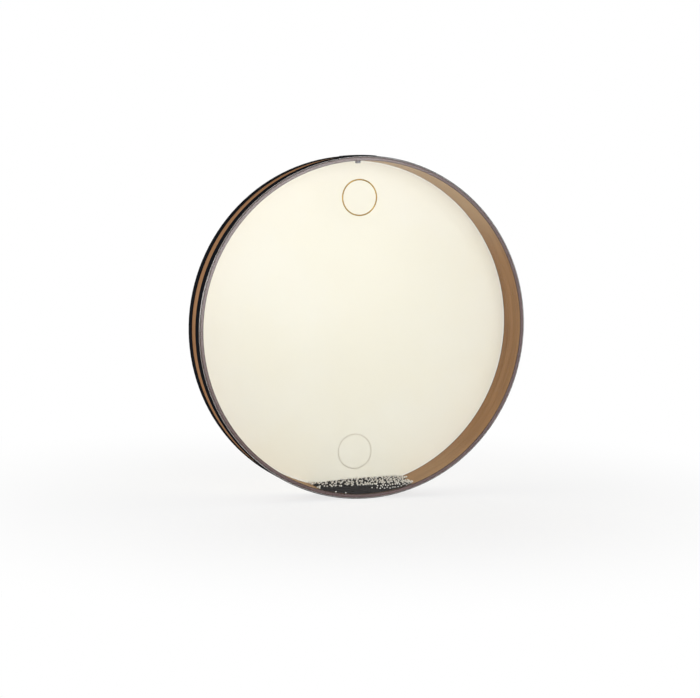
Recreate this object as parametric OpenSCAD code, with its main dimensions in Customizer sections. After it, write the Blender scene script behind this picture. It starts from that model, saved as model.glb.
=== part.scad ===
// Ocean drum: a shallow wooden frame drum closed by two film heads, with a heap of
// fine metal shot and light round beads that rolls along the inside of the wall.
// The drum stands on its rim: its axis is Y, the clear head faces -Y and +Z is up.
// The origin is the centre of the drum. Clock angles run from +Z towards +X.

/* [Drum] */
// Diameter over the wrapped heads
drum_d = 558.8; // [400:0.1:700]
// Depth over both heads
drum_depth = 70; // [60:0.5:110]
// Thickness of the bent wooden wall
wall_t = 6.6; // [5:0.1:10]
// Rounding of the wall's outer corners, which the heads wrap over
edge_round = 2.6; // [1:0.1:4]
// Thickness of the glue between plies, heads, bands and plate
glue_line = 0.05; // [0.03:0.01:0.1]
// Slit where the two ends of a bent strip meet
seam_gap = 0.3; // [0.1:0.1:1]

/* [Heads and trim bands] */
// Thickness of the head film
film_t = 0.35; // [0.25:0.05:0.8]
// Width of each trim band
band_w = 19; // [12:0.5:21]
// Thickness of each trim band
band_t = 0.8; // [0.4:0.1:1.5]
// Distance from the end of the rounded corner to the near edge of the band
band_back = 0.2; // [0:0.1:2]
// Bevel on the outer edges of a band
band_bevel = 0.25; // [0.1:0.05:0.35]
// How far the head's skirt stops short of the band's far edge
skirt_short = 1.5; // [0.5:0.1:5]

/* [Crown plate] */
// Clock angle of the plate and its screw, in degrees
plate_clock = -1.5; // [-30:0.1:30]
// Length of the plate round the wall
plate_len = 58; // [40:1:90]
// Thickness of the plate
plate_t = 2.6; // [1.5:0.1:4]
// Space between the plate and each trim band
plate_gap = 0.9; // [0.3:0.1:2]
// Corner radius of the plate
plate_corner = 3; // [1:0.5:5]
// Diameter of the screw's shank
screw_d = 5; // [3:0.5:6]
// Diameter of the screw's countersunk head
screw_head_d = 9.4; // [8.5:0.1:11]
// Width of the head's slot
slot_w = 1.2; // [0.8:0.1:1.5]
// Depth of the head's slot
slot_depth = 1; // [0.5:0.1:1.2]
// Play between the screw and the holes in the plate and the wall
screw_play = 0.2; // [0.1:0.05:0.5]
// Play between the screw and the bores of the washer and the nut
thread_play = 0.05; // [0.02:0.01:0.1]
// Width of the nut across its flats
nut_flats = 8; // [7:0.5:10]
// Height of the nut
nut_h = 3.4; // [2:0.1:5]
// Diameter of the washer
washer_d = 10; // [8:0.5:14]
// Thickness of the washer
washer_t = 0.8; // [0.5:0.1:1.5]
// How far the screw's end stands out of the nut
screw_tip = 0.3; // [0.1:0.1:1]

/* [Heap of shot and beads] */
// Half the chord that the fine dark shot covers on the wall
shot_half_chord = 72; // [50:1:90]
// Rise of the shot's surface above its chord
shot_crown = 2.7; // [1:0.1:6]
// Half the chord that the light beads cover
fill_half_chord = 83; // [60:1:110]
// Rise of the beads' level above its chord
fill_crown = 2.6; // [1:0.1:6]
// How far the beads have settled to one side of the shot, in degrees round the drum
fill_lean = 2.7; // [-5:0.1:5]
// Diameter of a light bead
bead_d = 3.2; // [2.5:0.1:4]
// Mean space between neighbouring beads
bead_space = 0.6; // [0.45:0.05:1.5]
// Clearance between the heap and the drum
loose_gap = 0.3; // [0.2:0.05:0.6]
// Gap between a bead and what it rests on
rest_gap = 0.05; // [0.02:0.01:0.2]
// Part of the shot's surface that beads cover
cover_share = 0.5; // [0.2:0.05:1]
// Part of the places beyond the shot that beads fill
end_share = 0.75; // [0.2:0.05:1]
// Clearance round the nut in the groove that it ploughs through the heap
plough_gap = 0.5; // [0.3:0.1:1]

/* [Hidden] */

$fn = 240;

// One overrun serves all cuts
over = 1;
// Straight steps that a rounded corner is drawn in
round_steps = 6;

// Radii of the wall, from the head's outside inwards
head_r = drum_d / 2;
shell_r = head_r - film_t - glue_line;
shell_in = shell_r - wall_t;
// Half the depth of the drum, and of the wall between the heads
half_depth = drum_depth / 2;
shell_half = half_depth - film_t - glue_line;

// The wall's plies, counted from the inside
ply_count = 5;
ply_pitch = (wall_t + glue_line) / ply_count;
ply_t = ply_pitch - glue_line;
// Clock angles of the plies' butt seams, from the innermost ply outwards
ply_seams = [262, 118, 214, 48, plate_clock + 3.5];
// Clock angle of the trim bands' butt seams
band_seam = 146;

// Depth places of a trim band and of the head's skirt, from the drum's face
band_start = edge_round + film_t + glue_line + band_back;
band_end = band_start + band_w;
skirt_end = band_end - skirt_short;
band_in = head_r + glue_line;
band_r = band_in + band_t;

// The plate fills the bare stripe between the bands
plate_w = drum_depth - 2 * (band_end + plate_gap);
plate_in = shell_r + glue_line;
plate_r = plate_in + plate_t;
screw_r = screw_d / 2;
head_cone_h = (screw_head_d - screw_d) / 2;
// Radius at which the flat head lies flush in the middle of the curved plate
head_top = sqrt(plate_r * plate_r - screw_head_d * screw_head_d / 4);
// Radius at which the flat washer meets the curved wall
washer_seat = sqrt(shell_in * shell_in - washer_d * washer_d / 4) - glue_line;
nut_seat = washer_seat - washer_t;
nut_end = nut_seat - nut_h;
screw_end = nut_end - screw_tip;
nut_corner_d = nut_flats / cos(30);
// Outward run of the nut's bevel for each unit of its height
nut_bevel_slope = 2;

// Space inside the heads and the wall that the heap keeps to
heap_r = shell_in - loose_gap;
heap_half = half_depth - film_t - loose_gap;
bead_r = bead_d / 2;

// Radius of a heap's surface, and the distance of that arc's centre from the drum's axis
function crown_r(half_chord, crown) = (half_chord * half_chord + crown * crown) / (2 * crown);
function crown_far(half_chord, crown) =
    sqrt(heap_r * heap_r - half_chord * half_chord) - crown + crown_r(half_chord, crown);

shot_r = crown_r(shot_half_chord, shot_crown);
shot_far = crown_far(shot_half_chord, shot_crown);
fill_r = crown_r(fill_half_chord, fill_crown);
fill_far = crown_far(fill_half_chord, fill_crown);

// Height of an arc about a centre that lies far below the axis, leaned towards +X
function arc_z(x, r, far, lean) =
    let(dx = x - far * sin(lean)) sqrt(r * r - dx * dx) - far * cos(lean);

// Heights of a bead's centre on the wall and on the shot, and of the beads' level
function wall_z(x) = -sqrt(pow(heap_r - bead_r, 2) - x * x);
function shot_z(x) = arc_z(x, shot_r + bead_r + rest_gap, shot_far, 0);
function level_z(x) = arc_z(x, fill_r, fill_far, fill_lean);
function on_wall(x) = wall_z(x) >= shot_z(x);
function seat_z(x) = max(wall_z(x), shot_z(x));

// The beads lie in staggered rows, each moved a little at random
col_pitch = bead_d + bead_space;
fill_mid = heap_r * sin(fill_lean);
row_pitch = col_pitch * sqrt(3) / 2;
shake = bead_space / 5;
col_count = 2 * floor(fill_half_chord / col_pitch) + 1;
row_count = floor((2 * heap_half - bead_d - 2 * shake) / row_pitch) + 1;
layer_max = 3;
place_count = col_count * row_count * layer_max;
bead_seed = 11;
shake_x = rands(-1, 1, place_count, bead_seed);
shake_y = rands(-1, 1, place_count, bead_seed + 1);
luck = rands(0, 1, place_count, bead_seed + 2);

// Groove round the drum's middle that clears the washer, nut and screw end
plough_half = max(washer_d, nut_corner_d) / 2 + plough_gap;
plough_in = screw_end - plough_gap;
// Least shot over the groove where a bead rests on it
plough_roof = bead_r;

// Beads that lie in the shot against the clear head: shares of the shot's half chord,
// and of the way down from its surface to the wall
window_shares = [[-0.66, 0.52], [-0.48, 0.3], [-0.17, 0.86], [0.02, 0.93], [0.31, 0.45], [0.47, 0.6]];

function place(col, row, layer) = (layer * row_count + row) * col_count + col;
function bead_x(col, row, layer) =
    fill_mid
    + (col - (col_count - 1) / 2 + ((row + layer) % 2 - 0.5) / 2) * col_pitch
    + shake * shake_x[place(col, row, layer)];
function bead_y(col, row, layer) =
    (row - (row_count - 1) / 2) * row_pitch + shake * shake_y[place(col, row, layer)];
// How many beads lie on each other at a place
function layers_at(x) =
    seat_z(x) > level_z(x) + bead_r ? 0
    : min(layer_max, 1 + max(0, floor((level_z(x) - bead_r - seat_z(x)) / bead_d)));
function share_at(x) = on_wall(x) ? end_share : cover_share;
function clear_of_groove(x, y, z) =
    abs(y) > plough_half + bead_r || norm([x, z]) < plough_in - plough_roof - bead_r;
function in_wall(x, z) = norm([x, z]) <= heap_r - bead_r + rest_gap;

// Outline of a quarter round from one angle to another
function arc_points(cx, cy, r, from, to) =
    [
        for (k = [0:round_steps])
            let(a = from + (to - from) * k / round_steps)
                [cx + r * cos(a), cy + r * sin(a)]
    ];

// How far the rounded corner drops below the wall's flat edge at a radius
function edge_drop(r) =
    let(past = r - (shell_r - edge_round))
    past <= 0 ? 0 : edge_round - sqrt(max(0, edge_round * edge_round - past * past));

// Turns a revolved shape so that its axis is the drum's axis
module on_axis() {
    rotate([-90, 0, 0]) children();
}

// Moves a shape made along Z to a clock angle on the wall
module at_clock(clock) {
    rotate([0, clock, 0]) children();
}

// Mirrors a piece from the front of the drum to its back
module to_back() {
    mirror([0, 1, 0]) children();
}

// Slit across a bent strip, where its ends meet
module seam(clock, inner, outer) {
    at_clock(clock)
        translate([-seam_gap / 2, -half_depth - over, inner - over])
            cube([seam_gap, drum_depth + 2 * over, outer - inner + 2 * over]);
}

// Space for the screw through the plate and the wall
module screw_hole() {
    at_clock(plate_clock) {
        translate([0, 0, nut_seat])
            cylinder(r = screw_r + screw_play, h = plate_r - nut_seat + over);
        translate([0, 0, head_top - head_cone_h])
            cylinder(
                r1 = screw_r + screw_play,
                r2 = screw_head_d / 2 + screw_play + over,
                h = head_cone_h + over
            );
    }
}

// One ply of the wall: a strip bent to a ring, its outer corners rounded with the wall's
module ply(index) {
    inner = shell_in + index * ply_pitch;
    outer = inner + ply_t;
    steps = outer > shell_r - edge_round ? round_steps : 1;
    radii = [for (k = [0:steps]) inner + (outer - inner) * k / steps];
    difference() {
        on_axis()
            rotate_extrude()
                polygon(concat(
                    [for (k = [0:steps]) [radii[k], shell_half - edge_drop(radii[k])]],
                    [for (k = [steps:-1:0]) [radii[k], edge_drop(radii[k]) - shell_half]]
                ));
        seam(ply_seams[index], inner, outer);
        screw_hole();
    }
}

module outer_ply() {
    color([0.55, 0.4, 0.26]) ply(4);
}

module outer_cross_ply() {
    color([0.42, 0.33, 0.33]) ply(3);
}

module core_ply() {
    color([0.36, 0.27, 0.28]) ply(2);
}

module inner_cross_ply() {
    color([0.44, 0.35, 0.34]) ply(1);
}

module inner_ply() {
    color([0.58, 0.43, 0.3]) ply(0);
}

// A film disc whose edge wraps over the wall's corner and down its outside
module head_film() {
    corner_r = edge_round + film_t + glue_line;
    corner_x = head_r - corner_r;
    corner_y = corner_r - half_depth;
    on_axis()
        rotate_extrude()
            polygon(concat(
                [[0, -half_depth]],
                arc_points(corner_x, corner_y, corner_r, -90, 0),
                [[head_r, skirt_end - half_depth], [head_r - film_t, skirt_end - half_depth]],
                arc_points(corner_x, corner_y, corner_r - film_t, 0, -90),
                [[0, film_t - half_depth]]
            ));
}

module front_head() {
    color([0.86, 0.9, 0.92, 0.25]) head_film();
}

module back_head() {
    color([0.96, 0.94, 0.87]) to_back() head_film();
}

// A black strip round the skirt of a head
module trim_band() {
    near = band_start - half_depth;
    far = band_end - half_depth;
    difference() {
        on_axis()
            rotate_extrude()
                polygon([
                    [band_in, near],
                    [band_r - band_bevel, near],
                    [band_r, near + band_bevel],
                    [band_r, far - band_bevel],
                    [band_r - band_bevel, far],
                    [band_in, far]
                ]);
        seam(band_seam, band_in, band_r);
    }
}

module front_trim_band() {
    color([0.09, 0.1, 0.12]) trim_band();
}

module back_trim_band() {
    color([0.09, 0.1, 0.12]) to_back() trim_band();
}

// Block with rounded corners, seen from above the wall
module plate_blank() {
    translate([0, 0, shell_in])
        for (turn = [0, 1]) {
            long_x = plate_len - (turn == 0 ? 0 : 2 * plate_corner);
            long_y = plate_w - (turn == 0 ? 2 * plate_corner : 0);
            translate([-long_x / 2, -long_y / 2, 0])
                cube([long_x, long_y, plate_r - shell_in + over]);
        }
    for (sx = [-1, 1], sy = [-1, 1])
        translate([sx * (plate_len / 2 - plate_corner), sy * (plate_w / 2 - plate_corner), shell_in])
            cylinder(r = plate_corner, h = plate_r - shell_in + over);
}

// A bare plate curved to the wall, between the two trim bands
module crown_plate() {
    color([0.08, 0.08, 0.09])
        difference() {
            intersection() {
                on_axis()
                    translate([0, 0, -half_depth])
                        difference() {
                            cylinder(r = plate_r, h = drum_depth);
                            translate([0, 0, -over]) cylinder(r = plate_in, h = drum_depth + 2 * over);
                        }
                at_clock(plate_clock) plate_blank();
            }
            screw_hole();
        }
}

// Slotted countersunk screw that clamps the plate and the wall
module plate_screw() {
    color([0.5, 0.5, 0.52])
        at_clock(plate_clock)
            difference() {
                union() {
                    translate([0, 0, screw_end]) cylinder(r = screw_r, h = head_top - screw_end);
                    translate([0, 0, head_top - head_cone_h])
                        cylinder(r1 = screw_r, r2 = screw_head_d / 2, h = head_cone_h);
                }
                translate([-screw_head_d / 2 - over, -slot_w / 2, head_top - slot_depth])
                    cube([screw_head_d + 2 * over, slot_w, slot_depth + over]);
            }
}

module plate_washer() {
    color([0.6, 0.6, 0.62])
        at_clock(plate_clock)
            translate([0, 0, nut_seat])
                difference() {
                    cylinder(r = washer_d / 2, h = washer_t);
                    translate([0, 0, -over])
                        cylinder(r = screw_r + thread_play, h = washer_t + 2 * over);
                }
}

// Hexagon nut, its corners turned off at the free end
module plate_nut() {
    color([0.55, 0.55, 0.57])
        at_clock(plate_clock)
            translate([0, 0, nut_end])
                difference() {
                    intersection() {
                        cylinder(d = nut_corner_d, h = nut_h, $fn = 6);
                        cylinder(
                            r1 = nut_flats / 2,
                            r2 = nut_flats / 2 + nut_bevel_slope * nut_h,
                            h = nut_h
                        );
                    }
                    translate([0, 0, -over])
                        cylinder(r = screw_r + thread_play, h = nut_h + 2 * over);
                }
}

// Places of the beads that lie against the clear head
function window_spot(share) =
    let(
        x = share[0] * shot_half_chord,
        top = arc_z(x, shot_r, shot_far, 0),
        low = wall_z(x)
    )
    [x, bead_r - heap_half, top + share[1] * (low - top)];

// The settled shot: its underside follows the wall and its top is a low crown
module dark_shot() {
    color([0.2, 0.19, 0.19])
        difference() {
            intersection() {
                on_axis()
                    translate([0, 0, -heap_half])
                        cylinder(r = heap_r, h = 2 * heap_half);
                translate([0, 0, -shot_far])
                    on_axis()
                        translate([0, 0, -heap_half - over])
                            cylinder(r = shot_r, h = 2 * (heap_half + over), $fn = 4 * $fn);
            }
            on_axis()
                translate([0, 0, -plough_half])
                    difference() {
                        cylinder(r = shell_in, h = 2 * plough_half);
                        translate([0, 0, -over])
                            cylinder(r = plough_in, h = 2 * (plough_half + over));
                    }
            for (share = window_shares)
                translate(window_spot(share)) sphere(r = bead_r + rest_gap, $fn = 48);
        }
}

// Beads on the shot and beyond its ends, in the rows from first to last
module bead_rows(first, last) {
    for (row = [first:last], col = [0:col_count - 1], layer = [0:layer_max - 1]) {
        base = bead_x(col, row, 0);
        x = bead_x(col, row, layer);
        y = bead_y(col, row, layer);
        z = seat_z(x) + layer * (bead_d + rest_gap);
        kept = layer < layers_at(base) && luck[place(col, row, 0)] < share_at(base);
        if (kept && in_wall(x, z) && clear_of_groove(base, y, seat_z(base)))
            translate([x, y, z]) sphere(r = bead_r, $fn = 24);
    }
}

first_back_row = ceil(row_count * 2 / 3);
first_middle_row = ceil(row_count / 3);

module front_beads() {
    color([0.93, 0.91, 0.86]) bead_rows(0, first_middle_row - 1);
}

module middle_beads() {
    color([0.93, 0.91, 0.86]) bead_rows(first_middle_row, first_back_row - 1);
}

module back_beads() {
    color([0.93, 0.91, 0.86]) bead_rows(first_back_row, row_count - 1);
}

module window_beads() {
    color([0.93, 0.91, 0.86])
        for (share = window_shares)
            translate(window_spot(share)) sphere(r = bead_r, $fn = 24);
}

outer_ply();
outer_cross_ply();
core_ply();
inner_cross_ply();
inner_ply();
front_head();
back_head();
front_trim_band();
back_trim_band();
crown_plate();
plate_screw();
plate_washer();
plate_nut();
dark_shot();
front_beads();
middle_beads();
back_beads();
window_beads();
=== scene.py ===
"""Looks of an ocean drum: a ring of bent plywood closed by a clear and a cream film head.

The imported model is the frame. Lengths are in metres, +Y runs along the drum's axis from the
clear front head to the cream back head, +Z is up and +X is to the right as seen from the front.
The heap of fine shot and light beads rides on its own body.
"""

from __future__ import annotations

import logging
import math
import random
from collections.abc import Iterable, Sequence
from dataclasses import dataclass, field
from enum import Enum

import bmesh
import bpy
from mathutils import Matrix, Vector, noise


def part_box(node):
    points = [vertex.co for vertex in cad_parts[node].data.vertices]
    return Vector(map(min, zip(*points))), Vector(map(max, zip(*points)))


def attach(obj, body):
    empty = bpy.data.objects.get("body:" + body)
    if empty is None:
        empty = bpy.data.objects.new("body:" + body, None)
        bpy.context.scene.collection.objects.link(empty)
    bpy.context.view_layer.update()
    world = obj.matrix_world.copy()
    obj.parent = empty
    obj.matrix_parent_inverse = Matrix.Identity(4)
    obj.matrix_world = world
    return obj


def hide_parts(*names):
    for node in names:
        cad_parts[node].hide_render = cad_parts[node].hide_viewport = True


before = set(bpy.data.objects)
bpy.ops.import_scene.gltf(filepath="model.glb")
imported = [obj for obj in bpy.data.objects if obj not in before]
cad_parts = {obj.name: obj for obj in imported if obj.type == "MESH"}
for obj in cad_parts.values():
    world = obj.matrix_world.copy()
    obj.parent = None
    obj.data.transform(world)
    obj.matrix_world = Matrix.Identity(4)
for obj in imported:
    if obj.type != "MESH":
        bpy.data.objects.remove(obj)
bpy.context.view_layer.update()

LOG = logging.getLogger("ocean_drum")
MM = 0.001
TONE = "tone"
FULL_CHANNEL = 255
SCREEN_KNEE = 0.04045
SCREEN_SLOPE = 12.92
SCREEN_LIFT = 0.055
SCREEN_GAMMA = 2.4

Colour = tuple[float, float, float, float]
Place = tuple[float, float, float]
Range = tuple[float, float]
Socket = bpy.types.NodeSocket
Piece = bpy.types.Object
Material = bpy.types.Material

ORIGIN: Place = (0.0, 0.0, 0.0)
WHITE: Colour = (1.0, 1.0, 1.0, 1.0)
NOISE_SPREAD: Range = (0.3, 0.7)


class Body(Enum):
    """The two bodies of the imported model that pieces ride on."""

    DRUM = "drum"
    HEAP = "beads"


class Slot(Enum):
    """Names of the record's material slots. The rings' list carries one each, but no piece is given a
    slot.
    """

    CLEAR = "clear_film"
    CREAM = "cream_film"
    SHOT = "dark_shot"
    BEAD = "light_bead"


@dataclass(frozen=True)
class Noise:
    """A noise texture: features per unit, octaves of finer noise, and their weight."""

    scale: float = 1.0
    detail: float = 3.0
    rough: float = 0.5


def decoded(value: float) -> float:
    """Undo the screen's gamma for one channel.

    Args:
        value: The channel, from 0 to 255.

    Returns:
        Its linear share, from 0 to 1.
    """
    share = value / FULL_CHANNEL
    if share <= SCREEN_KNEE:
        return share / SCREEN_SLOPE
    return ((share + SCREEN_LIFT) / (1 + SCREEN_LIFT)) ** SCREEN_GAMMA


def linear(red: float, green: float, blue: float) -> Colour:
    """Turn a screen colour, of channels from 0 to 255, into the linear one that a shader takes."""
    return decoded(red), decoded(green), decoded(blue), 1.0


def smooth_step(low: float, high: float, value: float) -> float:
    """Rise softly from 0 at low to 1 at high.

    Args:
        low: Value up to which the result is 0.
        high: Value from which the result is 1.
        value: Value to look up.

    Returns:
        A share from 0 to 1.
    """
    share = min(1.0, max(0.0, (value - low) / (high - low)))
    return share * share * (3 - 2 * share)


class NodeGraph:
    """A node tree, built by short calls."""

    tree: bpy.types.NodeTree

    def feed(self, socket: Socket, value: object) -> None:
        """Link a socket to another one, or set its value.

        Args:
            socket: Input to fill.
            value: Output socket, or a plain value.
        """
        if isinstance(value, Socket):
            self.tree.links.new(value, socket)
        else:
            socket.default_value = value

    def add(
        self, kind: str, settings: dict[str, object] | None = None, **inputs: object
    ) -> bpy.types.Node:
        """Add a node, set its properties and fill its inputs.

        Args:
            kind: Type name of the node.
            settings: Properties of the node, by name.
            **inputs: Its inputs, by their names with underscores for spaces.

        Returns:
            The new node.
        """
        node = self.tree.nodes.new(kind)
        for key, value in (settings or {}).items():
            setattr(node, key, value)
        for key, value in inputs.items():
            name = key.replace("_", " ")
            self.feed(next(s for s in node.inputs if s.name == name and s.enabled), value)
        return node

    @staticmethod
    def shown(node: bpy.types.Node) -> Socket:
        """The output that a node's type of data leaves in use."""
        return next(socket for socket in node.outputs if socket.enabled)


class ShaderGraph(NodeGraph):
    """The node tree of a material or of the world."""

    def __init__(self, name: str, world: bool = False) -> None:
        """Start an empty tree.

        Args:
            name: Name of the material or the world.
            world: Whether it is the world's.
        """
        self.owner = (bpy.data.worlds if world else bpy.data.materials).new(name)
        self.owner.use_nodes = True
        self.tree = self.owner.node_tree
        self.tree.nodes.clear()
        self.output = self.add("ShaderNodeOutputWorld" if world else "ShaderNodeOutputMaterial")

    def place(
        self, scale: Sequence[float] = (1, 1, 1), shift: Sequence[float] = (0, 0, 0)
    ) -> Socket:
        """Object coordinates through a Mapping node.

        Args:
            scale: Scale along each axis.
            shift: Point that moves to the pattern's origin.

        Returns:
            The vector output.
        """
        coords = self.add("ShaderNodeTexCoord").outputs["Object"]
        location = [-s * k for s, k in zip(shift, scale)]
        mapping = self.add("ShaderNodeMapping", Vector=coords, Scale=scale, Location=location)
        return mapping.outputs["Vector"]

    def calc(self, kind: str, *values: object, clamp: bool = False) -> Socket:
        """Work out a number with a Math node.

        Args:
            kind: Operation of the node.
            *values: Its inputs, as sockets or numbers.
            clamp: Whether the result stays from 0 to 1.

        Returns:
            The result's socket.
        """
        node = self.add("ShaderNodeMath", {"operation": kind, "use_clamp": clamp})
        for socket, value in zip(node.inputs, values):
            self.feed(socket, value)
        return node.outputs["Value"]

    def parts(self, vector: Socket) -> tuple[Socket, ...]:
        """Split a vector into its X, Y and Z."""
        return tuple(self.add("ShaderNodeSeparateXYZ", Vector=vector).outputs)

    def joined(self, x: object, y: object, z: object) -> Socket:
        """Make a vector of three numbers or sockets."""
        return self.add("ShaderNodeCombineXYZ", X=x, Y=y, Z=z).outputs["Vector"]

    def distance(self, first: object, second: object) -> Socket:
        """Distance from an axis of a place given by its two coordinates across it."""
        square = self.calc("MULTIPLY", second, second)
        return self.calc("SQRT", self.calc("MULTIPLY_ADD", first, first, square))

    def offset(self, value: object, middle: float) -> Socket:
        """How far a value is from the middle, to either side."""
        return self.calc("ABSOLUTE", self.calc("SUBTRACT", value, middle))

    def cloud(self, vector: Socket, kind: Noise) -> Socket:
        """Look up a noise texture.

        Args:
            vector: Place to look up.
            kind: Settings of the noise.

        Returns:
            A value round 0.5.
        """
        node = self.add(
            "ShaderNodeTexNoise",
            Vector=vector,
            Scale=kind.scale,
            Detail=kind.detail,
            Roughness=kind.rough,
        )
        return node.outputs["Fac"]

    def span(
        self, value: object, low: float, high: float, new_low: float = 0.0, new_high: float = 1.0
    ) -> Socket:
        """Map a value from one range to another, smoothly and clamped.

        Args:
            value: Socket or number to map.
            low: Value that becomes new_low.
            high: Value that becomes new_high.
            new_low: Result at low.
            new_high: Result at high.

        Returns:
            The mapped value's socket.
        """
        node = self.add(
            "ShaderNodeMapRange",
            {"interpolation_type": "SMOOTHSTEP"},
            Value=value,
            From_Min=low,
            From_Max=high,
            To_Min=new_low,
            To_Max=new_high,
        )
        return self.shown(node)

    def roughness(self, source: Socket, rough: float, drift: Range) -> Socket:
        """Vary a roughness by the two drifts, from a noise's low to its high."""
        return self.span(source, *NOISE_SPREAD, rough + drift[0], rough + drift[1])

    def blend(self, share: object, first: object, second: object) -> Socket:
        """Mix two colours, the second by the given share."""
        node = self.add("ShaderNodeMix", {"data_type": "RGBA"}, Factor=share, A=first, B=second)
        return self.shown(node)

    def mixed(self, share: object, first: Socket, second: Socket) -> Socket:
        """Mix two shaders.

        Args:
            share: How much of the second shader shows, from 0 to 1.
            first: Shader at 0.
            second: Shader at 1.

        Returns:
            The mixed shader's socket.
        """
        node = self.add("ShaderNodeMixShader", Fac=share)
        for socket, shader in zip(node.inputs[1:], (first, second)):
            self.feed(socket, shader)
        return node.outputs["Shader"]

    def bumps(self, height: Socket, depth: float, strength: float = 1.0) -> Socket:
        """Turn a height from 0 to 1 into a normal; at 1 it stands up by depth, in metres."""
        node = self.add("ShaderNodeBump", Height=height, Distance=depth, Strength=strength)
        return node.outputs["Normal"]

    def surface(self, **values: object) -> Material:
        """Finish the material with one Principled shader of the given inputs."""
        return self.finished(self.add("ShaderNodeBsdfPrincipled", **values).outputs["BSDF"])

    def finished(self, shader: Socket) -> Material | bpy.types.World:
        """Link the last shader to the output and return the material or the world."""
        self.feed(self.output.inputs["Surface"], shader)
        return self.owner


@dataclass(frozen=True)
class PlyFinish:
    """A stained ply: long grain on its face, and short streaks on its sawn edge.

    Its face takes a painted shade close to the heads where shade is set, and painted light
    that makes it paler towards the drum's top and foot by the two painted light shares.
    """

    name: str
    face_light: Colour
    face_dark: Colour
    edge_light: Colour
    edge_dark: Colour
    streak: Colour
    streak_share: float = 0.0
    face_rough: float = 0.46
    rough_drift: Range = (0.08, -0.06)
    shine: float = 0.4
    grain_scale: Place = (5.0, 900.0, 5.0)
    grain: Noise = Noise(1.0, 5.0, 0.62)
    grain_share: float = 0.6
    grain_depth: float = 0.06 * MM
    broad_scale: Place = (11.0, 60.0, 11.0)
    broad_shift: Place = (0.3, 0.1, 0.2)
    broad: Noise = Noise()
    tone_range: Range = (0.36, 0.64)
    edge_along: float = 9.0
    edge_across: float = 1800.0
    fibres: Noise = Noise(1.0, 4.0, 0.6)
    fibre_range: Range = (0.35, 0.65)
    patches: Noise = Noise(0.6, 2.0)
    patch_range: Range = (0.5, 0.62)
    sawn_range: Range = (0.12, 0.4)
    # painted shade: the face darkens to shade_tone close to the heads, in the corner where the wall
    # meets the films
    shade: float = 0.0
    shade_tone: Colour = linear(46, 33, 30)
    shade_range: Range = (32.6 * MM, 33.8 * MM)
    # painted light: the face turns paler towards the drum's top and foot, standing in for light that
    # falls there
    painted_light: Colour = linear(206, 177, 144)
    painted_light_top: float = 0.0
    light_top_range: Range = (90 * MM, 225 * MM)
    painted_light_foot: float = 0.0
    light_foot_range: Range = (-250 * MM, -160 * MM)

    def face(self, graph: ShaderGraph, grain: Socket) -> Socket:
        """Colour the ply's face.

        Args:
            graph: Graph to build in.
            grain: Noise of the grain.

        Returns:
            The colour's socket.
        """
        broad = graph.cloud(graph.place(self.broad_scale, self.broad_shift), self.broad)
        fine_part = graph.calc("MULTIPLY", grain, self.grain_share)
        tone = graph.calc("ADD", fine_part, graph.calc("MULTIPLY", broad, 1 - self.grain_share))
        face = graph.blend(graph.span(tone, *self.tone_range), self.face_dark, self.face_light)

        _, y, z = graph.parts(graph.place())
        # painted light: paler towards the drum's top and foot
        light_at_top = graph.span(z, *self.light_top_range, 0.0, self.painted_light_top)
        light_at_foot = graph.span(z, *self.light_foot_range, self.painted_light_foot, 0.0)
        face = graph.blend(graph.calc("ADD", light_at_top, light_at_foot), face, self.painted_light)
        # painted shade in the corner where the wall meets the heads
        shade_at_head = graph.span(graph.calc("ABSOLUTE", y), *self.shade_range, 0.0, self.shade)
        return graph.blend(shade_at_head, face, self.shade_tone)

    def edge(self, graph: ShaderGraph) -> Socket:
        """Colour the ply's sawn edge.

        Args:
            graph: Graph to build in.

        Returns:
            The colour's socket.
        """
        x, _, z = graph.parts(graph.place())
        radius = graph.distance(x, z)
        ring = graph.joined(
            graph.calc("MULTIPLY", graph.calc("DIVIDE", x, radius), self.edge_along),
            graph.calc("MULTIPLY", radius, self.edge_across),
            graph.calc("MULTIPLY", graph.calc("DIVIDE", z, radius), self.edge_along),
        )
        fibres = graph.span(graph.cloud(ring, self.fibres), *self.fibre_range)
        edge = graph.blend(fibres, self.edge_dark, self.edge_light)
        patches = graph.cloud(ring, self.patches)
        shown = graph.span(patches, *self.patch_range, 0.0, self.streak_share)
        return graph.blend(shown, edge, self.streak)

    def material(self) -> Material:
        """Build the ply's material, in the drum's own coordinates.

        Returns:
            The material.
        """
        graph = ShaderGraph(self.name)
        grain = graph.cloud(graph.place(self.grain_scale), self.grain)
        normal = graph.add("ShaderNodeTexCoord").outputs["Normal"]
        turned = graph.calc("ABSOLUTE", graph.parts(normal)[1])
        sawn = graph.span(turned, *self.sawn_range)
        return graph.surface(
            Base_Color=graph.blend(sawn, self.face(graph, grain), self.edge(graph)),
            Roughness=graph.roughness(grain, self.face_rough, self.rough_drift),
            Normal=graph.bumps(grain, self.grain_depth),
            Specular_IOR_Level=self.shine,
        )


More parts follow.
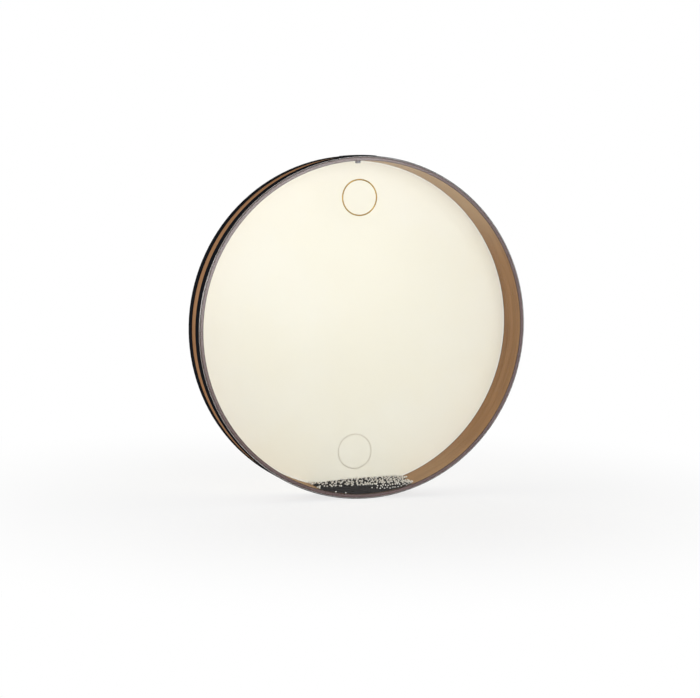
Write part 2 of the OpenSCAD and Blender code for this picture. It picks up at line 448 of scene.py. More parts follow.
@dataclass(frozen=True)
class CreamFilmFinish:
    """Cream film: a faint mottle, a paler rim, and a soft pressed line inside the wall.

    A ring printed on its outside shows through as a ghost, and its skirt is darker.
    """

    wall_inside: float
    ring_centre: tuple[float, float]
    ring_radius: float
    inner_face: float
    body: Colour = linear(245, 235, 211)
    mottle: Colour = linear(242, 231, 205)
    mottle_noise: Noise = Noise(7.0, 3.0, 0.55)
    mottle_shift: Place = (0.1, 0.0, 0.2)
    mottle_range: Range = (0.36, 0.66)
    fine: Noise = Noise(420.0, 3.0, 0.6)
    fine_depth: float = 0.02 * MM
    rim: Colour = linear(248, 240, 219)
    rim_width: float = 3.6 * MM
    pressed: Colour = linear(236, 218, 192)
    pressed_share: float = 0.8
    line_width: float = 0.9 * MM
    ghost: Colour = linear(214, 192, 166)
    ghost_share: float = 0.45
    ghost_width: float = 1.05 * MM
    skirt: Colour = linear(226, 217, 196)
    skirt_range: Range = (278.8 * MM, 279.2 * MM)
    rough: float = 0.42
    rough_drift: Range = (-0.05, 0.07)
    shine: float = 0.35
    glow_depth: float = 2 * MM

    def material(self) -> Material:
        """Build the cream film's material, in the drum's own coordinates.

        Returns:
            The material.
        """
        graph = ShaderGraph("cream_film")
        x, y, z = graph.parts(graph.place())
        radius = graph.distance(x, z)
        clouds = graph.cloud(graph.place(shift=self.mottle_shift), self.mottle_noise)
        fine = graph.cloud(graph.place(), self.fine)
        colour = graph.blend(graph.span(clouds, *self.mottle_range), self.body, self.mottle)

        start = self.wall_inside - self.rim_width
        shown = graph.span(radius, start, start + self.line_width / 2)
        colour = graph.blend(shown, colour, self.rim)
        off_line = graph.offset(radius, start)
        on_line = graph.span(off_line, 0.0, self.line_width, self.pressed_share, 0.0)
        colour = graph.blend(on_line, colour, self.pressed)

        ring_x, ring_z = self.ring_centre
        aside, _, above = graph.parts(graph.place(shift=(ring_x, 0, ring_z)))
        off_ring = graph.offset(graph.distance(aside, above), self.ring_radius)
        on_ring = graph.span(off_ring, self.ghost_width / 3, self.ghost_width, self.ghost_share, 0.0)
        inside = graph.calc("LESS_THAN", y, self.inner_face)
        colour = graph.blend(graph.calc("MULTIPLY", on_ring, inside), colour, self.ghost)
        colour = graph.blend(graph.span(radius, *self.skirt_range), colour, self.skirt)
        return graph.surface(
            Base_Color=colour,
            Roughness=graph.roughness(fine, self.rough, self.rough_drift),
            Normal=graph.bumps(fine, self.fine_depth),
            Specular_IOR_Level=self.shine,
            Subsurface_Weight=1.0,
            Subsurface_Radius=(1.0, 1.0, 1.0),
            Subsurface_Scale=self.glow_depth,
        )


@dataclass(frozen=True)
class ClearFilmFinish:
    """Clear film: what is behind it shows, and light glances off it more at a flat angle.

    Its sheen has a least share at right angles, which grows over the wall's edge and the bent corner.
    """

    rim_from: float
    corner_from: float
    tint: Colour = (0.975, 0.975, 0.965, 1.0)
    head_on: float = 0.0145
    at_rim: float = 0.026
    at_corner: float = 0.08
    edge_width: float = 0.8 * MM
    facing_blend: float = 0.5
    glancing: float = 0.6
    fall: float = 2.2
    rough: float = 0.2
    waves: Noise = Noise(9.0, 2.0)
    wave_depth: float = 0.6 * MM
    wave_strength: float = 0.5

    def material(self) -> Material:
        """Build the clear film's material, in the drum's own coordinates.

        Returns:
            The material.
        """
        graph = ShaderGraph("clear_film")
        waves = graph.cloud(graph.place(), self.waves)
        normal = graph.bumps(waves, self.wave_depth, self.wave_strength)
        clear = graph.add("ShaderNodeBsdfTransparent", Color=self.tint)
        gloss = graph.add(
            "ShaderNodeBsdfAnisotropic", Color=WHITE, Roughness=self.rough, Normal=normal
        )
        facing = graph.add("ShaderNodeLayerWeight", Blend=self.facing_blend).outputs["Facing"]
        x, _, z = graph.parts(graph.place())
        radius = graph.distance(x, z)
        rim_to, corner_to = self.rim_from + self.edge_width, self.corner_from + self.edge_width
        least = graph.calc(
            "ADD",
            graph.span(radius, self.rim_from, rim_to, self.head_on, self.at_rim),
            graph.span(radius, self.corner_from, corner_to, 0.0, self.at_corner),
        )
        bend = graph.calc("POWER", facing, self.fall)
        share = graph.calc("MULTIPLY_ADD", bend, self.glancing, least)
        return graph.finished(graph.mixed(share, clear.outputs["BSDF"], gloss.outputs["BSDF"]))


@dataclass(frozen=True)
class TrimFinish:
    """Black trim: a fine grain drawn out along the strip, with worn streaks where the grain meets a
    fine dust noise.
    """

    name: str
    body: Colour
    worn: Colour
    rough: float
    shine: float
    along: float
    across: float
    depth: float
    lines: Noise = Noise(1.0, 4.0, 0.6)
    line_range: Range = (0.45, 0.7)
    dust: Noise = Noise(160.0, 4.0, 0.7)
    dust_range: Range = (0.4, 0.75)
    rough_drift: Range = (-0.06, 0.1)

    def material(self) -> Material:
        """Build the trim's material, in the drum's own coordinates.

        Returns:
            The material.
        """
        graph = ShaderGraph(self.name)
        lines = graph.cloud(graph.place((self.along, self.across, self.along)), self.lines)
        dust = graph.cloud(graph.place(), self.dust)
        worn = graph.calc(
            "MULTIPLY", graph.span(lines, *self.line_range), graph.span(dust, *self.dust_range)
        )
        return graph.surface(
            Base_Color=graph.blend(worn, self.body, self.worn),
            Roughness=graph.roughness(dust, self.rough, self.rough_drift),
            Normal=graph.bumps(lines, self.depth),
            Specular_IOR_Level=self.shine,
        )


@dataclass(frozen=True)
class MetalFinish:
    """Plated or foiled metal with tarnished patches."""

    name: str
    bright: Colour
    dull: Colour
    patches: Noise
    scratches: Noise
    rough: float
    metallic: float = 1.0
    patch_shift: Place = (0.05, 0.02, 0.1)
    patch_range: Range = (0.38, 0.64)
    rough_drift: Range = (-0.06, 0.12)
    scratch_depth: float = 0.01 * MM

    def material(self) -> Material:
        """Build the metal's material, in the drum's own coordinates.

        Returns:
            The material.
        """
        graph = ShaderGraph(self.name)
        patches = graph.cloud(graph.place(shift=self.patch_shift), self.patches)
        scratches = graph.cloud(graph.place(), self.scratches)
        return graph.surface(
            Base_Color=graph.blend(graph.span(patches, *self.patch_range), self.dull, self.bright),
            Metallic=self.metallic,
            Roughness=graph.roughness(scratches, self.rough, self.rough_drift),
            Normal=graph.bumps(scratches, self.scratch_depth),
        )


@dataclass(frozen=True)
class GrainFinish:
    """Loose grains, each a little lighter or darker by its own tone."""

    name: str
    light: Colour
    dark: Colour
    rough: float
    shine: float
    specks: Noise
    speck_share: float = 0.3
    tone_share: float = 0.8
    rough_drift: Range = (-0.05, 0.07)

    def material(self) -> Material:
        """Build the grains' material, which reads their tone attribute.

        Returns:
            The material.
        """
        graph = ShaderGraph(self.name)
        stored = {"attribute_type": "GEOMETRY", "attribute_name": TONE}
        tone = graph.add("ShaderNodeAttribute", stored).outputs["Fac"]
        own = graph.calc("MULTIPLY", tone, self.tone_share)
        specks = graph.cloud(graph.place(), self.specks)
        share = graph.calc("MULTIPLY_ADD", specks, self.speck_share, own, clamp=True)
        return graph.surface(
            Base_Color=graph.blend(share, self.light, self.dark),
            Roughness=graph.roughness(specks, self.rough, self.rough_drift),
            Specular_IOR_Level=self.shine,
        )


def settle(piece: Piece) -> None:
    """Turn a piece's modifiers into its mesh.

    Args:
        piece: Object whose mesh changes.
    """
    depsgraph = bpy.context.evaluated_depsgraph_get()
    mesh = bpy.data.meshes.new_from_object(piece.evaluated_get(depsgraph))
    piece.modifiers.clear()
    mesh.name = piece.name
    piece.data = mesh


class GeometryTree(NodeGraph):
    """A Geometry Nodes tree with named inputs, grown once and turned into a plain mesh."""

    KINDS = {float: "NodeSocketFloat", int: "NodeSocketInt", Piece: "NodeSocketObject"}

    def __init__(self, name: str) -> None:
        """Start a tree with a geometry going in and out.

        Args:
            name: Name of the tree.
        """
        self.tree = bpy.data.node_groups.new(name, "GeometryNodeTree")
        self.tree.is_modifier = True
        self.values: dict[str, object] = {}
        for way in ("INPUT", "OUTPUT"):
            self.tree.interface.new_socket("Geometry", in_out=way, socket_type="NodeSocketGeometry")
        self.entry = self.add("NodeGroupInput")
        self.exit = self.add("NodeGroupOutput")

    @property
    def start(self) -> Socket:
        """The geometry that the tree is given."""
        return self.entry.outputs["Geometry"]

    def named(self, name: str, value: object) -> Socket:
        """Add a named input.

        Args:
            name: Plain name of the input.
            value: Its value, a number, a whole number or an object.

        Returns:
            The input's socket inside the tree.
        """
        kind = next(socket for python, socket in self.KINDS.items() if isinstance(value, python))
        socket = self.tree.interface.new_socket(name, in_out="INPUT", socket_type=kind)
        self.values[socket.identifier] = value
        return self.entry.outputs[name]

    def grow(self, geometry: Socket, material: Material, base: Piece) -> Piece:
        """End the tree, run it on an object and keep the result as that object's mesh.

        Args:
            geometry: Last geometry of the tree.
            material: Material that the result takes.
            base: Object that the tree runs on.

        Returns:
            The same object, with a plain mesh and no modifier.
        """
        real = self.add("GeometryNodeRealizeInstances", Geometry=geometry)
        dressed = self.add("GeometryNodeSetMaterial", Geometry=real.outputs[0], Material=material)
        self.tree.links.new(dressed.outputs[0], self.exit.inputs["Geometry"])
        modifier = base.modifiers.new(self.tree.name, "NODES")
        modifier.node_group = self.tree
        for identifier, value in self.values.items():
            modifier[identifier] = value
        settle(base)
        return base


def new_piece(name: str, mesh: bpy.types.Mesh | None = None) -> Piece:
    """Add an object at the origin.

    Args:
        name: Name of the object.
        mesh: Its mesh, or None for an empty one.

    Returns:
        The object, in the scene.
    """
    piece = bpy.data.objects.new(name, mesh or bpy.data.meshes.new(name))
    bpy.context.scene.collection.objects.link(piece)
    return piece


def join_frame(piece: Piece, body: Body, replaces: Iterable[str] = ()) -> None:
    """Tell the frame what a piece rides on and what it stands for.

    Args:
        piece: Finished piece.
        body: Body that it rides on.
        replaces: CAD nodes that it stands for.
    """
    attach(piece, body.value)
    nodes = tuple(replaces)
    if nodes:
        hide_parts(*nodes)
    LOG.info("%s: %d faces on %s", piece.name, len(piece.data.polygons), body.value)


def dress(node: str, material: Material) -> None:
    """Give a carried-over CAD node its material.

    Args:
        node: Name of the node.
        material: Material for all its slots.
    """
    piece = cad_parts[node]
    if not piece.material_slots:
        piece.data.materials.append(material)
    for slot in piece.material_slots:
        slot.material = material
    LOG.info("%s: dressed in %s", node, material.name)


@dataclass(frozen=True)
class DrumSizes:
    """Sizes that pieces share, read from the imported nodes."""

    glue_line: float = 0.05 * MM
    ply_count: int = 5
    head_radius: float = field(default_factory=lambda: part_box("front_head")[1].x)
    half_depth: float = field(default_factory=lambda: -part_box("front_head")[0].y)
    shell_half: float = field(default_factory=lambda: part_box("inner_ply")[1].y)
    shell_radius: float = field(default_factory=lambda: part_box("outer_ply")[1].x)
    inner_ply_radius: float = field(default_factory=lambda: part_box("inner_ply")[1].x)
    floor_height: float = field(default_factory=lambda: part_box("front_trim_band")[0].z)

    @property
    def ply_pitch(self) -> float:
        """Distance from one ply to the next."""
        return (self.shell_radius - self.inner_ply_radius) / (self.ply_count - 1)

    @property
    def wall_inside(self) -> float:
        """Radius of the wall's inside."""
        return self.inner_ply_radius - self.ply_pitch + self.glue_line


@dataclass(frozen=True)
class Wall:
    """The five bent plies of the wall."""

    inner_face: tuple[Colour, Colour] = (linear(186, 143, 95), linear(157, 115, 72))
    outer_face: tuple[Colour, Colour] = (linear(184, 139, 102), linear(158, 115, 80))
    mauve_edge: tuple[Colour, Colour] = (linear(110, 80, 83), linear(89, 60, 63))
    core_edge: tuple[Colour, Colour] = (linear(104, 73, 76), linear(80, 53, 55))
    plum_edge: tuple[Colour, Colour] = (linear(88, 54, 52), linear(56, 32, 30))
    rust: Colour = linear(124, 72, 50)
    lining_edge: tuple[Colour, Colour] = (linear(98, 76, 70), linear(74, 54, 50))
    skin_edge: tuple[Colour, Colour] = (linear(70, 42, 36), linear(38, 23, 21))

    def finishes(self) -> dict[str, PlyFinish]:
        """Choose a finish for each ply.

        Returns:
            The finishes by the node's name.
        """
        inner, outer, plum = self.inner_face, self.outer_face, self.plum_edge
        return {
            "inner_ply": PlyFinish(
                "lining_veneer", *inner, *self.lining_edge, self.rust, face_rough=0.6, shine=0.05,
                # painted shade near the heads, and painted light towards the drum's top and foot
                shade=0.8, painted_light_top=0.95, painted_light_foot=0.38,
            ),
            "inner_cross_ply": PlyFinish("mauve_ply", *plum, *self.mauve_edge, self.rust),
            "core_ply": PlyFinish(
                "core_mauve_ply", *plum, *self.core_edge, self.rust, streak_share=0.15
            ),
            "outer_cross_ply": PlyFinish("plum_ply", *plum, *plum, self.rust, streak_share=0.3),
            "outer_ply": PlyFinish(
                "skin_veneer", *outer, *self.skin_edge, self.rust, streak_share=0.2,
                face_rough=0.6, shine=0.0,
            ),
        }

    def build(self) -> None:
        """Dress the plies."""
        for node, finish in self.finishes().items():
            dress(node, finish.material())


@dataclass(frozen=True)
class PrintedRing:
    """A thin ring of gold foil on the outside of a head."""

    name: str
    centre_x: float
    centre_z: float
    radius: float
    line: float
    face: float
    foil: float = 0.07 * MM
    steps: int = 96

    def build(self, material: Material) -> Piece:
        """Sweep the foil's flat section round a circle on the head.

        Args:
            material: Gold foil.

        Returns:
            The ring.
        """
        tree = GeometryTree(f"{self.name}_tree")
        circle = tree.add(
            "GeometryNodeCurvePrimitiveCircle",
            Resolution=tree.named("Steps round the ring", self.steps),
            Radius=tree.named("Radius of the ring", self.radius),
        )
        section = tree.add(
            "GeometryNodeCurvePrimitiveQuadrilateral",
            Width=tree.named("Width of the line", self.line),
            Height=tree.named("Thickness of the foil", self.foil),
        )
        swept = tree.add(
            "GeometryNodeCurveToMesh", Curve=circle.outputs["Curve"], Profile_Curve=section.outputs[0]
        )
        moved = tree.add(
            "GeometryNodeTransform",
            Geometry=swept.outputs[0],
            Translation=(self.centre_x, self.face, self.centre_z),
            Rotation=(math.pi / 2, 0, 0),
        )
        piece = tree.grow(moved.outputs[0], material, new_piece(self.name))
        face_outwards(piece.data)
        return piece


def face_outwards(mesh: bpy.types.Mesh) -> None:
    """Turn a closed mesh's faces outwards.

    Args:
        mesh: Closed mesh.
    """
    shape = bmesh.new()
    shape.from_mesh(mesh)
    bmesh.ops.recalc_face_normals(shape, faces=shape.faces)
    shape.to_mesh(mesh)
    shape.free()


@dataclass(frozen=True)
class Heads:
    """The two film heads and the rings printed on them."""

    sizes: DrumSizes
    ring_radius: float = 28.9 * MM
    front_line: float = 2.2 * MM
    back_line: float = 1.1 * MM
    corner_depth: float = 1.6 * MM
    front_ring_at: tuple[float, float] = (-15.1 * MM, 212.7 * MM)
    back_ring_at: tuple[float, float] = (7.2 * MM, -211.6 * MM)
    gold: MetalFinish = MetalFinish(
        "gold_foil", linear(184, 148, 64), linear(146, 114, 40),
        patches=Noise(60.0, 4.0, 0.6), scratches=Noise(720.0), rough=0.34, metallic=0.75,
    )

    def build(self) -> None:
        """Dress the heads and print a ring on each."""
        depth = self.sizes.half_depth
        film = depth - self.sizes.shell_half
        cream = CreamFilmFinish(
            self.sizes.wall_inside, self.back_ring_at, self.ring_radius, inner_face=depth - film / 2
        )
        corner = self.sizes.head_radius - self.corner_depth
        dress("front_head", ClearFilmFinish(self.sizes.wall_inside, corner).material())
        dress("back_head", cream.material())
        gold = self.gold.material()
        for name, centre, line, side, slot in (
            ("front_ring", self.front_ring_at, self.front_line, -1, Slot.CLEAR),
            ("back_ring", self.back_ring_at, self.back_line, 1, Slot.CREAM),
        ):
            ring = PrintedRing(name, *centre, self.ring_radius, line, side * depth)
            join_frame(ring.build(gold), Body.DRUM)


@dataclass(frozen=True)
class Trim:
    """The black bands, the crown plate and its screw, washer and nut."""

    band: TrimFinish = TrimFinish(
        "black_band", linear(24, 26, 30), linear(56, 58, 62),
        rough=0.5, shine=0.0, along=6.0, across=700.0, depth=0.08 * MM,
    )
    plate: TrimFinish = TrimFinish(
        "black_plate", linear(13, 13, 15), linear(26, 26, 28),
        rough=0.45, shine=0.03, along=120.0, across=120.0, depth=0.02 * MM,
    )
    zinc: MetalFinish = MetalFinish(
        "zinc_plate", linear(118, 118, 126), linear(72, 71, 80),
        patches=Noise(300.0, 4.0, 0.6), scratches=Noise(3600.0), rough=0.38,
    )

    def build(self) -> None:
        """Dress the bands, the plate and what holds it."""
        for finish, nodes in (
            (self.band, ("front_trim_band", "back_trim_band")),
            (self.plate, ("crown_plate",)),
            (self.zinc, ("plate_screw", "plate_washer", "plate_nut")),
        ):
            material = finish.material()
            for node in nodes:
                dress(node, material)


@dataclass(frozen=True)
class Crown:
    """A heap's surface: an arc about a centre that lies far below the drum's axis."""

    radius: float
    far: float
    lean: float

    @classmethod
    def over_chord(
        cls, bed_radius: float, half_chord: float, rise: float, lean: float = 0.0
    ) -> Crown:
        """Draw the arc over a chord of the wall.

        Args:
            bed_radius: Radius that the heap lies on.
            half_chord: Half the chord that the heap covers.
            rise: Height of the arc above the chord.
            lean: Turn of the heap round the drum's axis, in degrees.

        Returns:
            The surface.
        """
        radius = (half_chord**2 + rise**2) / (2 * rise)
        far = math.sqrt(bed_radius**2 - half_chord**2) - rise + radius
        return cls(radius, far, math.radians(lean))

    def height(self, x: float) -> float:
        """Height of the surface at a place across the drum."""
        aside = x - self.far * math.sin(self.lean)
        return math.sqrt(self.radius**2 - aside**2) - self.far * math.cos(self.lean)


@dataclass(frozen=True)
class HeapBed:
    """The space that the heap fills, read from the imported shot, screw and washer, and its surface.

    The surface leans from the shot's arc at the front left to the beads' arc at the back and the
    right. The lifts, drops and fills set it off from these two arcs.
    """

    play: float = 0.35 * MM
    side_play: float = 0.5 * MM
    lump: float = 0.8 * MM
    lump_scale: float = 130.0
    front_lift: float = 1.9 * MM
    right_drop: float = 2.3 * MM
    back_drop: float = 0.6 * MM
    back_left_fill: float = 1.8 * MM
    left_from: float = -40 * MM
    left_to: float = -66 * MM
    turn_from: float = 0.0
    turn_to: float = 40 * MM
    fill_half_chord: float = 83 * MM
    fill_rise: float = 2.6 * MM
    fill_lean: float = 2.7
    bed_radius: float = field(default_factory=lambda: -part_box("dark_shot")[0].z)
    half_depth: float = field(default_factory=lambda: -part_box("dark_shot")[0].y)
    half_chord: float = field(default_factory=lambda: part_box("dark_shot")[1].x)
    top: float = field(default_factory=lambda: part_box("dark_shot")[1].z)
    groove_roof_radius: float = field(default_factory=lambda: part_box("plate_screw")[0].z)
    washer_half: float = field(default_factory=lambda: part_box("plate_washer")[1].y)

    @property
    def groove_roof(self) -> float:
        """Radius up to which the groove for the screw's end is cut."""
        return self.groove_roof_radius - self.play

    @property
    def groove_half(self) -> float:
        """Half the width of the groove."""
        return self.washer_half + self.side_play

    def crowns(self) -> tuple[Crown, Crown]:
        """Draw the arcs over the shot and over the beads.

        Returns:
            The two arcs.
        """
        chord_height = -math.sqrt(self.bed_radius**2 - self.half_chord**2)
        shot = Crown.over_chord(self.bed_radius, self.half_chord, self.top - chord_height)
        fill = Crown.over_chord(self.bed_radius, self.fill_half_chord, self.fill_rise, self.fill_lean)
        return shot, fill

    def wall_height(self, x: float) -> float:
        """Height of the wall's inside at a place across the drum."""
        return -math.sqrt(self.bed_radius**2 - x**2)

    def shot_height(self, x: float, y: float) -> float:
        """Height of the shot's lumpy surface.

        Args:
            x: Place across the drum.
            y: Place along its axis.

        Returns:
            The height, which leans from the shot's arc at the front left to the beads' arc
            at the back and the right.
        """
        shot, fill = self.crowns()
        level = fill.height(x)
        to_right = smooth_step(self.turn_from, self.turn_to, x)
        left = shot.height(x) + self.front_lift
        front = left + (level - self.right_drop - left) * to_right
        to_left = smooth_step(self.left_from, self.left_to, x)
        back = level - self.back_drop + self.back_left_fill * to_left
        to_back = smooth_step(-self.half_depth, self.half_depth, y)
        lumps = noise.noise(Vector((x, y, 0.0)) * self.lump_scale)
        return front + (back - front) * to_back + self.lump * lumps


@dataclass(frozen=True)
class GrainCloud:
    """Small round grains on given points, each with a turn, a size and a tone by chance."""

    seed: int
    smallest: float
    largest: float = 1.0

    def chance(self, tree: GeometryTree, kind: str, step: int, **limits: object) -> Socket:
        """Draw a value for each grain.

        Args:
            tree: Tree to build in.
            kind: Type of the value.
            step: What is added to the seed, so that no two draws are alike.
            **limits: The value's Min and Max.

        Returns:
            The value's socket.
        """
        settings = {"data_type": kind}
        return tree.shown(
            tree.add("FunctionNodeRandomValue", settings, Seed=self.seed + step, **limits)
        )

    def grow_on(self, tree: GeometryTree, points: Socket, grain: Socket) -> Socket:
        """Put a turned grain on each point and store its tone.

        Args:
            tree: Tree to build in.
            points: Points' socket.
            grain: Geometry of one grain.

        Returns:
            The grains' geometry.
        """
        laid = tree.add(
            "GeometryNodeInstanceOnPoints",
            Points=points,
            Instance=grain,
            Rotation=self.chance(tree, "FLOAT_VECTOR", 0, Max=(math.tau, math.tau, math.tau)),
            Scale=self.chance(tree, "FLOAT", 1, Min=self.smallest, Max=self.largest),
        )
        stored = tree.add(
            "GeometryNodeStoreNamedAttribute",
            {"data_type": "FLOAT", "domain": "INSTANCE"},
            Geometry=laid.outputs[0],
            Name=TONE,
            Value=self.chance(tree, "FLOAT", 2, Min=0.0, Max=1.0),
        )
        return stored.outputs[0]


@dataclass(frozen=True)
class LightBeads:
    """Off-white beads, sunk in the top of the shot and against the clear head.

    crowd gives places across the heap with the beads per metre there. lone gives single beads
    against the clear head by their place across and their rise above the wall.
    """

    bed: HeapBed
    radius: float = 1.6 * MM
    least_sink: float = 0.4 * MM
    most_sink: float = 1.5 * MM
    gap: float = 0.04 * MM
    crowd: tuple[tuple[float, float], ...] = (
        (-76 * MM, 850.0), (-60 * MM, 1050.0), (14 * MM, 1100.0), (34 * MM, 1350.0),
        (60 * MM, 1500.0), (76 * MM, 2000.0), (90.5 * MM, 2900.0),
    )
    lone: tuple[tuple[float, float], ...] = (
        (-47.2 * MM, 0.0), (-30.2 * MM, 0.0), (15.0 * MM, 7.9 * MM),
    )
    end_slant: float = 9 * MM
    face_from: float = 22 * MM
    face_to: float = 86 * MM
    face_count: int = 44
    strip: float = 3.8 * MM
    strip_end: float = 74 * MM
    tries: int = 60
    smallest: float = 0.88
    seed: int = 5
    segments: int = 8
    rings: int = 6
    finish: GrainFinish = GrainFinish(
        "light_bead", linear(254, 253, 250), linear(244, 240, 233),
        rough=0.3, shine=0.8, specks=Noise(900.0, 2.0),
    )

    @property
    def span(self) -> float:
        """Greatest distance of a bead's centre from the heap's middle, along the axis."""
        return self.bed.half_depth - self.radius - self.gap

    def roof(self, y: float) -> float:
        """Radius that a bead at a place along the axis may reach, over the groove or beside it."""
        over_groove = abs(y) < self.bed.groove_half + self.radius + self.gap
        return self.bed.groove_roof if over_groove else self.bed.bed_radius

    def lowest(self, x: float, y: float) -> float:
        """Height of the centre of a bead that lies at that radius."""
        return -math.sqrt((self.roof(y) - self.radius) ** 2 - x**2)

    def fits(self, bead: Vector, others: Iterable[Vector]) -> bool:
        """Whether a bead clears the wall, the groove and the other beads.

        Args:
            bead: The bead's centre.
            others: Centres of the beads already laid.

        Returns:
            True where it may lie.
        """
        out = math.hypot(bead.x, bead.z)
        end = self.crowd[-1][0] - self.end_slant * (bead.y / self.span + 1) / 2
        if out > self.roof(bead.y) - self.radius + self.gap or bead.x > end:
            return False
        apart = (2 * self.radius + self.gap) ** 2
        return all((bead - other).length_squared >= apart for other in others)

    def dropped(self, x: float, y: float, sink: float) -> Vector:
        """A bead's centre where it lies on the shot or the wall.

        Args:
            x: Place across the drum.
            y: Place along its axis.
            sink: How deep it is sunk in the shot.

        Returns:
            The centre.
        """
        on_shot = self.bed.shot_height(x, y) + self.radius - sink
        return Vector((x, y, max(self.lowest(x, y), on_shot)))

    def face_places(self, luck: random.Random) -> list[Vector]:
        """Lay the beads against the clear head: the lone ones first, the rest to the right.

        Args:
            luck: Seeded source of chance.

        Returns:
            The beads' centres.
        """
        front = -self.span
        beads = [Vector((x, front, self.lowest(x, front) + rise)) for x, rise in self.lone]
        for _ in range(self.face_count):
            for _ in range(self.tries):
                x = luck.triangular(self.face_from, self.face_to, self.face_to)
                strip = self.strip * smooth_step(self.strip_end, self.face_from, x)
                low = self.bed.wall_height(x) + strip + self.radius
                high = self.bed.shot_height(x, front) - self.least_sink
                bead = Vector((x, front, luck.uniform(low, max(low, high))))
                if self.fits(bead, beads):
                    beads.append(bead)
                    break
        return beads

    def places(self) -> list[Vector]:
        """Lay the beads one by one where they clear each other.

        Returns:
            The beads' centres.
        """
        luck = random.Random(self.seed)
        beads = self.face_places(luck)
        for (start, low), (end, high) in zip(self.crowd, self.crowd[1:]):
            for _ in range(round((end - start) * (low + high) / 2)):
                for _ in range(self.tries):
                    place = luck.uniform(start, end), luck.uniform(-self.span, self.span)
                    bead = self.dropped(*place, luck.uniform(self.least_sink, self.most_sink))
                    if self.fits(bead, beads):
                        beads.append(bead)
                        break
        return beads

    def points(self) -> Piece:
        """Make the beads' centres the points of an object.

        Returns:
            The object.
        """
        mesh = bpy.data.meshes.new("light_beads")
        mesh.from_pydata(self.places(), [], [])
        return new_piece("light_beads", mesh)

    def build(self, points: Piece) -> Piece:
        """Grow a bead on each point.

        Args:
            points: Object with the beads' centres.

        Returns:
            The same object with the beads as its mesh.
        """
        tree = GeometryTree("bead_tree")
        ball = tree.add(
            "GeometryNodeMeshUVSphere",
            Segments=tree.named("Segments of a bead", self.segments),
            Rings=tree.named("Rings of a bead", self.rings),
            Radius=tree.named("Radius of a bead", self.radius),
        )
        smooth = tree.add("GeometryNodeSetShadeSmooth", Geometry=ball.outputs["Mesh"])
        cloud = GrainCloud(self.seed, self.smallest)
        grains = cloud.grow_on(tree, tree.start, smooth.outputs[0])
        return tree.grow(grains, self.finish.material(), points)


